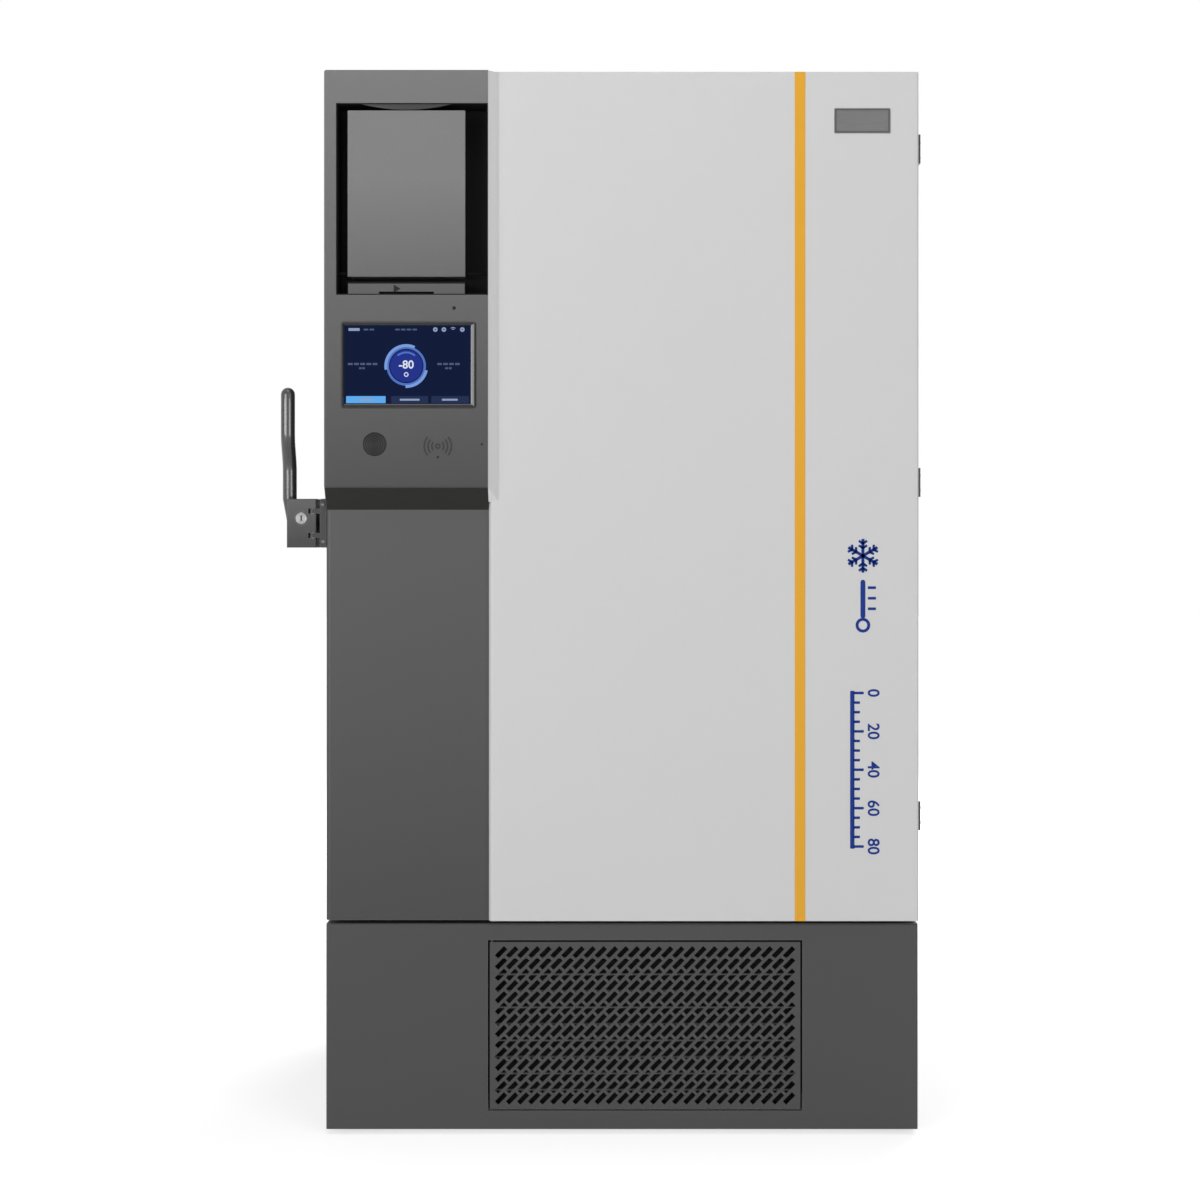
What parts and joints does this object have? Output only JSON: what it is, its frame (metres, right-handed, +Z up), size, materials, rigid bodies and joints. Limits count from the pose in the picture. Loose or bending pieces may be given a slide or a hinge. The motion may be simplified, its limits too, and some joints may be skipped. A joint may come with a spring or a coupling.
{
  "type": "ultra low temperature freezer",
  "caption": "Upright ultra low temperature freezer: insulated door with dark control column, side latch handle, inner doors over shelved compartments and a grilled machine base.",
  "frame": {"origin": "on the floor under the middle of the overall box, handle and hinges included", "axes": "+Z up, -Y towards the user (the door faces -Y), +X to the right as seen from the front"},
  "size_m": [1.186, 0.997, 1.955],
  "materials": {
    "light_panel": "satin powder coat",
    "dark_column": "satin powder coat",
    "base_grey": "fine texture powder coat",
    "console_plastic": "fine texture",
    "niche_black": "matte",
    "bin_grey": "fine texture",
    "screen_glass": "polished, lit from behind",
    "reader_black": "polished",
    "module_black": "matte",
    "accent_yellow": "glossy film",
    "badge_metal": "brushed",
    "gasket_rubber": "matte",
    "foam": "rigid foam",
    "stainless": "brushed",
    "frame_plastic": "smooth",
    "inner_door_white": "smooth",
    "copper": "drawn tube",
    "fin_aluminium": "mill finish",
    "black_steel": "gloss black",
    "handle_metal": "metallic satin",
    "lock_chrome": "polished",
    "zinc_steel": "zinc plated",
    "mount_rubber": "matte",
    "filter_foam": "open cell foam",
    "wheel_nylon": "smooth",
    "fan_plastic": "matte"
  },
  "bodies": {
    "cabinet": {"cabinet_shell": "light_panel", "cabinet_back_panel": "light_panel", "door_frame": "frame_plastic", "cabinet_insulation": "foam", "inner_liner": "stainless", "evaporator_coil": "copper", "shelves": "stainless", "inner_door_rod": "stainless", "access_port": "module_black", "hinge_cabinet_halves": "zinc_steel", "latch_strike": "zinc_steel", "base_front_cover": "base_grey", "base_side_panels": "base_grey", "base_rear_panel": "base_grey", "power_inlet": "module_black", "base_pan": "zinc_steel", "air_filter": "filter_foam", "condenser": "fin_aluminium", "fan_shroud": "black_steel", "fan_motor": "black_steel", "compressors": "black_steel", "compressor_mounts": "mount_rubber", "heat_exchanger": "stainless", "refrigerant_lines": "copper", "electrical_box": "light_panel", "caster_brackets": "zinc_steel", "levelling_feet": "zinc_steel"},
    "door": {"door_front_panel": "light_panel", "column_lower_panel": "dark_column", "door_core": "foam", "door_inner_liner": "inner_door_white", "door_gasket": "gasket_rubber", "console_moulding": "console_plastic", "touch_glass": "screen_glass", "display_module": "module_black", "reader_pad": "reader_black", "niche_liner": "niche_black", "bin_pivot_pins": "zinc_steel", "accent_strip": "accent_yellow", "badge_plate": "badge_metal", "hinge_door_halves": "zinc_steel", "handle_base": "handle_metal", "handle_pivot_pin": "zinc_steel"},
    "handle": {"handle_block": "handle_metal", "handle_lever": "handle_metal", "latch_pawl": "zinc_steel"},
    "lock": {"lock_barrel": "lock_chrome"},
    "bin": {"document_bin": "bin_grey"},
    "grille": {"base_grille": "base_grey"},
    "fan": {"fan_rotor": "fan_plastic"},
    "caster_left": {"caster_fork_left": "zinc_steel"},
    "caster_right": {"caster_fork_right": "zinc_steel"},
    "inner_flap_1": {"inner_door_1": "inner_door_white"},
    "inner_flap_2": {"inner_door_2": "inner_door_white"},
    "inner_flap_3": {"inner_door_3": "inner_door_white"},
    "inner_flap_4": {"inner_door_4": "inner_door_white"},
    "wheel_front_left": {"caster_wheel_front_left": "wheel_nylon"},
    "wheel_front_right": {"caster_wheel_front_right": "wheel_nylon"},
    "wheel_rear_left": {"caster_wheel_rear_left": "wheel_nylon"},
    "wheel_rear_right": {"caster_wheel_rear_right": "wheel_nylon"}
  },
  "joints": [
    {"name": "door_swing", "type": "hinge", "parent": "cabinet", "child": "door", "pos_m": [0.583, -0.3635, 1.175], "axis": [0, 0, 1], "range_deg": [0, 110]},
    {"name": "handle_pull", "type": "hinge", "parent": "door", "child": "handle", "pos_m": [-0.533, -0.4525, 1.126], "axis": [0, 0, 1], "range_deg": [0, 30], "stiffness_Nm_per_rad": 3},
    {"name": "lock_turn", "type": "hinge", "parent": "handle", "child": "lock", "pos_m": [-0.553, -0.4605, 1.135], "axis": [0, 1, 0], "range_deg": [0, 90]},
    {"name": "bin_tilt", "type": "hinge", "parent": "door", "child": "bin", "pos_m": [-0.357, -0.4845, 1.583], "axis": [1, 0, 0], "range_deg": [0, 25]},
    {"name": "grille_open", "type": "hinge", "parent": "cabinet", "child": "grille", "pos_m": [-0.2015, -0.4605, 0.199], "axis": [0, 0, -1], "range_deg": [0, 100]},
    {"name": "fan_spin", "type": "hinge", "parent": "cabinet", "child": "fan", "pos_m": [0.038, -0.369, 0.2165], "axis": [0, 1, 0], "continuous": true},
    {"name": "inner_flap_1_swing", "type": "hinge", "parent": "cabinet", "child": "inner_flap_1", "pos_m": [0.455, -0.2995, 0.66638], "axis": [0, 0, 1], "range_deg": [0, 95]},
    {"name": "inner_flap_2_swing", "type": "hinge", "parent": "cabinet", "child": "inner_flap_2", "pos_m": [0.455, -0.2995, 1.00313], "axis": [0, 0, 1], "range_deg": [0, 95]},
    {"name": "inner_flap_3_swing", "type": "hinge", "parent": "cabinet", "child": "inner_flap_3", "pos_m": [0.455, -0.2995, 1.33987], "axis": [0, 0, 1], "range_deg": [0, 95]},
    {"name": "inner_flap_4_swing", "type": "hinge", "parent": "cabinet", "child": "inner_flap_4", "pos_m": [0.455, -0.2995, 1.67663], "axis": [0, 0, 1], "range_deg": [0, 95]},
    {"name": "caster_swivel_left", "type": "hinge", "parent": "cabinet", "child": "caster_left", "pos_m": [-0.357, -0.3145, 0.072], "axis": [0, 0, 1], "continuous": true},
    {"name": "caster_swivel_right", "type": "hinge", "parent": "cabinet", "child": "caster_right", "pos_m": [0.433, -0.3145, 0.072], "axis": [0, 0, 1], "continuous": true},
    {"name": "wheel_roll_front_left", "type": "hinge", "parent": "caster_left", "child": "wheel_front_left", "pos_m": [-0.357, -0.2965, 0.028], "axis": [1, 0, 0], "continuous": true},
    {"name": "wheel_roll_front_right", "type": "hinge", "parent": "caster_right", "child": "wheel_front_right", "pos_m": [0.433, -0.2965, 0.028], "axis": [1, 0, 0], "continuous": true},
    {"name": "wheel_roll_rear_left", "type": "hinge", "parent": "cabinet", "child": "wheel_rear_left", "pos_m": [-0.357, 0.3545, 0.028], "axis": [1, 0, 0], "continuous": true},
    {"name": "wheel_roll_rear_right", "type": "hinge", "parent": "cabinet", "child": "wheel_rear_right", "pos_m": [0.433, 0.3545, 0.028], "axis": [1, 0, 0], "continuous": true}
  ],
  "couplings": [
    {"joint": "inner_flap_1_swing", "follows": "door_swing", "ratio": 0.85},
    {"joint": "inner_flap_2_swing", "follows": "door_swing", "ratio": 0.85},
    {"joint": "inner_flap_3_swing", "follows": "door_swing", "ratio": 0.85},
    {"joint": "inner_flap_4_swing", "follows": "door_swing", "ratio": 0.85}
  ]
}
